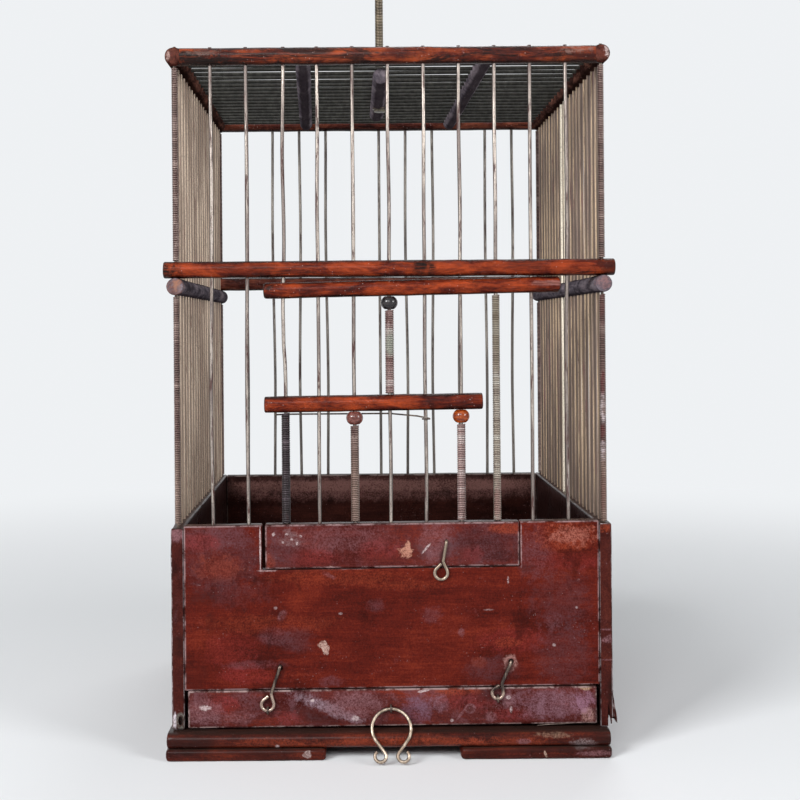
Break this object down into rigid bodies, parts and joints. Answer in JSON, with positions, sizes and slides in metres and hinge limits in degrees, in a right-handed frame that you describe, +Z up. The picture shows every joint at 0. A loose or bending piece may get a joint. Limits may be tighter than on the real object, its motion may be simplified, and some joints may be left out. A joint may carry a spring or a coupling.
{
  "type": "bird breeding cage",
  "caption": "Hanging cage for a pair of small birds: wooden box with a sliding tray, hinged front door, wire walls and roof on round sticks, and a swivelling hook.",
  "frame": {"origin": "on the surface the feet stand on, under the middle of the whole outline from the tips of the tray pull to the back edge of the base board", "axes": "+Z up, -Y the front with the door and the tray, +X to the right seen from the front"},
  "size_m": [0.2252, 0.2394, 0.4447],
  "materials": {
    "varnished_wood": "glossy dark red-brown varnish, worn orange along the sticks",
    "tray_wood": "dull stained wood",
    "aged_wire": "aged drawn wire",
    "wound_wire": "closely wound fine wire with varnish stains",
    "black_wound_wire": "closely wound blackened wire",
    "brass_wound_wire": "closely wound brass wire",
    "brass_wire": "tarnished bent wire",
    "dark_wire": "dark tarnished wire",
    "brown_glass": "glossy brown glass bead, nearly opaque",
    "amber_glass": "glossy amber glass bead, nearly opaque",
    "black_glass": "glossy black glass bead"
  },
  "bodies": {
    "cage": {"base_board": "varnished_wood", "foot_front_left": "varnished_wood", "foot_front_right": "varnished_wood", "foot_back_left": "varnished_wood", "foot_back_right": "varnished_wood", "left_side_board": "varnished_wood", "right_side_board": "varnished_wood", "front_board": "varnished_wood", "back_board": "varnished_wood", "front_top_rail": "varnished_wood", "back_top_rail": "varnished_wood", "left_top_rail": "varnished_wood", "right_top_rail": "varnished_wood", "front_middle_rail": "varnished_wood", "back_middle_rail": "varnished_wood", "left_middle_rail": "varnished_wood", "right_middle_rail": "varnished_wood", "left_roof_bar": "varnished_wood", "right_roof_bar": "varnished_wood", "hanger_block": "varnished_wood", "front_wires": "aged_wire", "front_upper_wires": "aged_wire", "hinge_wire": "aged_wire", "back_wires": "aged_wire", "left_side_wires": "aged_wire", "right_side_wires": "aged_wire", "roof_wires": "aged_wire", "corner_wires": "aged_wire", "lower_corner_sleeves": "wound_wire", "upper_corner_sleeves": "wound_wire", "hanger_washer": "brass_wire"},
    "door": {"door_bottom_rail": "varnished_wood", "door_middle_rail": "varnished_wood", "door_top_rail": "varnished_wood", "door_wires": "aged_wire", "hinge_sleeve": "black_wound_wire", "brown_bead_sleeve": "wound_wire", "amber_bead_sleeve": "wound_wire", "black_bead_sleeve": "wound_wire", "tall_sleeve": "wound_wire", "brown_bead": "brown_glass", "amber_bead": "amber_glass", "black_bead": "black_glass", "tie_wire": "dark_wire"},
    "door_latch": {"door_latch_pin": "brass_wire"},
    "tray": {"tray_front": "varnished_wood", "tray_floor": "tray_wood", "tray_left_side": "tray_wood", "tray_right_side": "tray_wood", "tray_back": "tray_wood", "left_hook_staple": "dark_wire", "right_hook_staple": "dark_wire", "pull_staple": "dark_wire"},
    "left_hook": {"left_tray_hook": "brass_wire"},
    "right_hook": {"right_tray_hook": "brass_wire"},
    "pull": {"tray_pull": "brass_wire"},
    "hanger": {"hanger_hook": "brass_wire", "hanger_wrap": "brass_wound_wire"}
  },
  "joints": [
    {"name": "tray_slide", "type": "slide", "parent": "cage", "child": "tray", "axis": [0, -1, 0], "range_m": [0, 0.15]},
    {"name": "door_swing", "type": "hinge", "parent": "cage", "child": "door", "pos_m": [-0.05225, -0.10082, 0.105], "axis": [0, 0, -1], "range_deg": [0, 105]},
    {"name": "latch_turn", "type": "hinge", "parent": "door", "child": "door_latch", "pos_m": [0.0274, -0.1043, 0.1067], "axis": [0, 1, 0], "range_deg": [0, 180]},
    {"name": "left_hook_swing", "type": "hinge", "parent": "tray", "child": "left_hook", "pos_m": [-0.062, -0.10546, 0.0233], "axis": [1, 0, 0], "range_deg": [0, 100]},
    {"name": "right_hook_swing", "type": "hinge", "parent": "tray", "child": "right_hook", "pos_m": [0.0522, -0.10546, 0.0284], "axis": [1, 0, 0], "range_deg": [0, 100]},
    {"name": "pull_swing", "type": "hinge", "parent": "tray", "child": "pull", "pos_m": [-0.0008, -0.10551, 0.0238], "axis": [-1, 0, 0], "range_deg": [0, 110]},
    {"name": "hanger_swivel", "type": "hinge", "parent": "cage", "child": "hanger", "pos_m": [-0.0017, -0.00106, 0.38], "axis": [0, 0, 1], "continuous": true}
  ]
}
